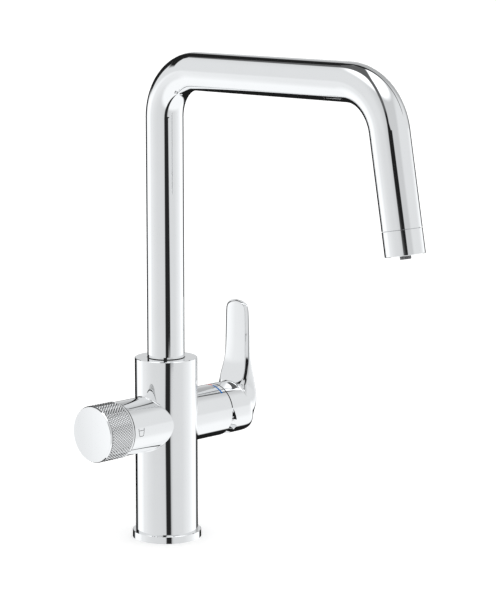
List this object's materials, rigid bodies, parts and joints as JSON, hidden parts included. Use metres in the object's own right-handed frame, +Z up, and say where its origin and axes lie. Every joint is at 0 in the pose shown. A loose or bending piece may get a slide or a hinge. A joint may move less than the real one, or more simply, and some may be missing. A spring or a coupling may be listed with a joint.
{
  "type": "filtered water kitchen tap",
  "caption": "Chrome kitchen tap with a tall square swivel spout, a mixer lever on the right, a knurled filtered-water knob on the left and a separate inner tube and nozzle for filtered water.",
  "frame": {"origin": "centre of the tap hole on the worktop's top face, under the column", "axes": "+Z up along the column, -Y the way the spout points at rest, +X the mixer lever, -X the filter knob"},
  "size_m": [0.1567, 0.2757, 0.4295],
  "materials": {
    "chrome": "mirror-polished chrome plate on brass",
    "knurled_chrome": "chrome plate over a fine diamond knurl",
    "brass": "bare machined brass",
    "steel": "zinc-plated or stainless steel",
    "black_rubber": "smooth moulded rubber",
    "white_ceramic": "lapped alumina",
    "light_plastic": "moulded acetal",
    "tube_plastic": "milky polyethylene tube",
    "grey_plastic": "dark grey moulded plastic",
    "hot_enamel": "red enamel filled into a groove",
    "cold_enamel": "blue enamel filled into a groove"
  },
  "bodies": {
    "tap_body": {"base_ring": "chrome", "base_gasket": "black_rubber", "body_casting": "chrome", "hot_mark": "hot_enamel", "cold_mark": "cold_enamel", "fixing_stud_front": "steel", "fixing_stud_rear": "steel", "fixing_nut_front": "steel", "fixing_nut_rear": "steel", "clamp_pad": "black_rubber", "clamp_plate": "steel", "spout_glide_ring_lower": "light_plastic", "spout_glide_ring_upper": "light_plastic", "spout_collar_ring": "chrome", "spout_stop_screw": "steel", "cartridge_seal": "black_rubber", "cartridge_base": "light_plastic", "fixed_mixing_disc": "white_ceramic", "cartridge_shell": "light_plastic", "cartridge_nut": "brass", "mixer_cap_ring": "chrome", "filter_valve_seal": "black_rubber", "filter_valve_body": "brass", "filter_fixed_disc": "white_ceramic"},
    "spout": {"spout_tube": "chrome", "filtered_water_tube": "tube_plastic", "spout_spigot": "brass", "spout_seal_lower": "black_rubber", "spout_seal_upper": "black_rubber", "outlet_adapter": "steel", "aerator_sleeve": "chrome", "aerator_insert": "light_plastic", "aerator_seal": "black_rubber", "filtered_water_nozzle": "grey_plastic"},
    "mixer_carrier": {"spindle_carrier": "light_plastic", "pivot_pin": "steel"},
    "mixing_disc": {"moving_mixing_disc": "white_ceramic", "disc_slider": "light_plastic"},
    "mixer_lever": {"lever_spindle": "steel", "lever_handle": "chrome", "lever_screw": "steel", "lever_plug": "grey_plastic"},
    "filter_knob": {"filter_moving_disc": "white_ceramic", "filter_valve_spindle": "brass", "knob_driver": "light_plastic", "knob_grip": "knurled_chrome", "knob_cap": "chrome", "knob_screw": "steel"}
  },
  "joints": [
    {"name": "spout_swivel", "type": "hinge", "parent": "tap_body", "child": "spout", "pos_m": [0, 0, 0.138], "axis": [0, 0, 1], "range_deg": [-75, 75]},
    {"name": "lever_mix", "type": "hinge", "parent": "tap_body", "child": "mixer_carrier", "pos_m": [0.034, 0, 0.09], "axis": [1, 0, 0], "range_deg": [-45, 45]},
    {"name": "lever_tilt", "type": "hinge", "parent": "mixer_carrier", "child": "mixer_lever", "pos_m": [0.034, 0, 0.09], "axis": [0, 1, 0], "range_deg": [0, 25]},
    {"name": "disc_slide", "type": "slide", "parent": "mixer_carrier", "child": "mixing_disc", "axis": [0, 0, 1], "range_m": [0, 0.0031]},
    {"name": "filter_turn", "type": "hinge", "parent": "tap_body", "child": "filter_knob", "pos_m": [-0.0625, 0, 0.09], "axis": [-1, 0, 0], "range_deg": [0, 90]}
  ],
  "couplings": [
    {"joint": "disc_slide", "follows": "lever_tilt", "m_per_rad": 0.007}
  ]
}
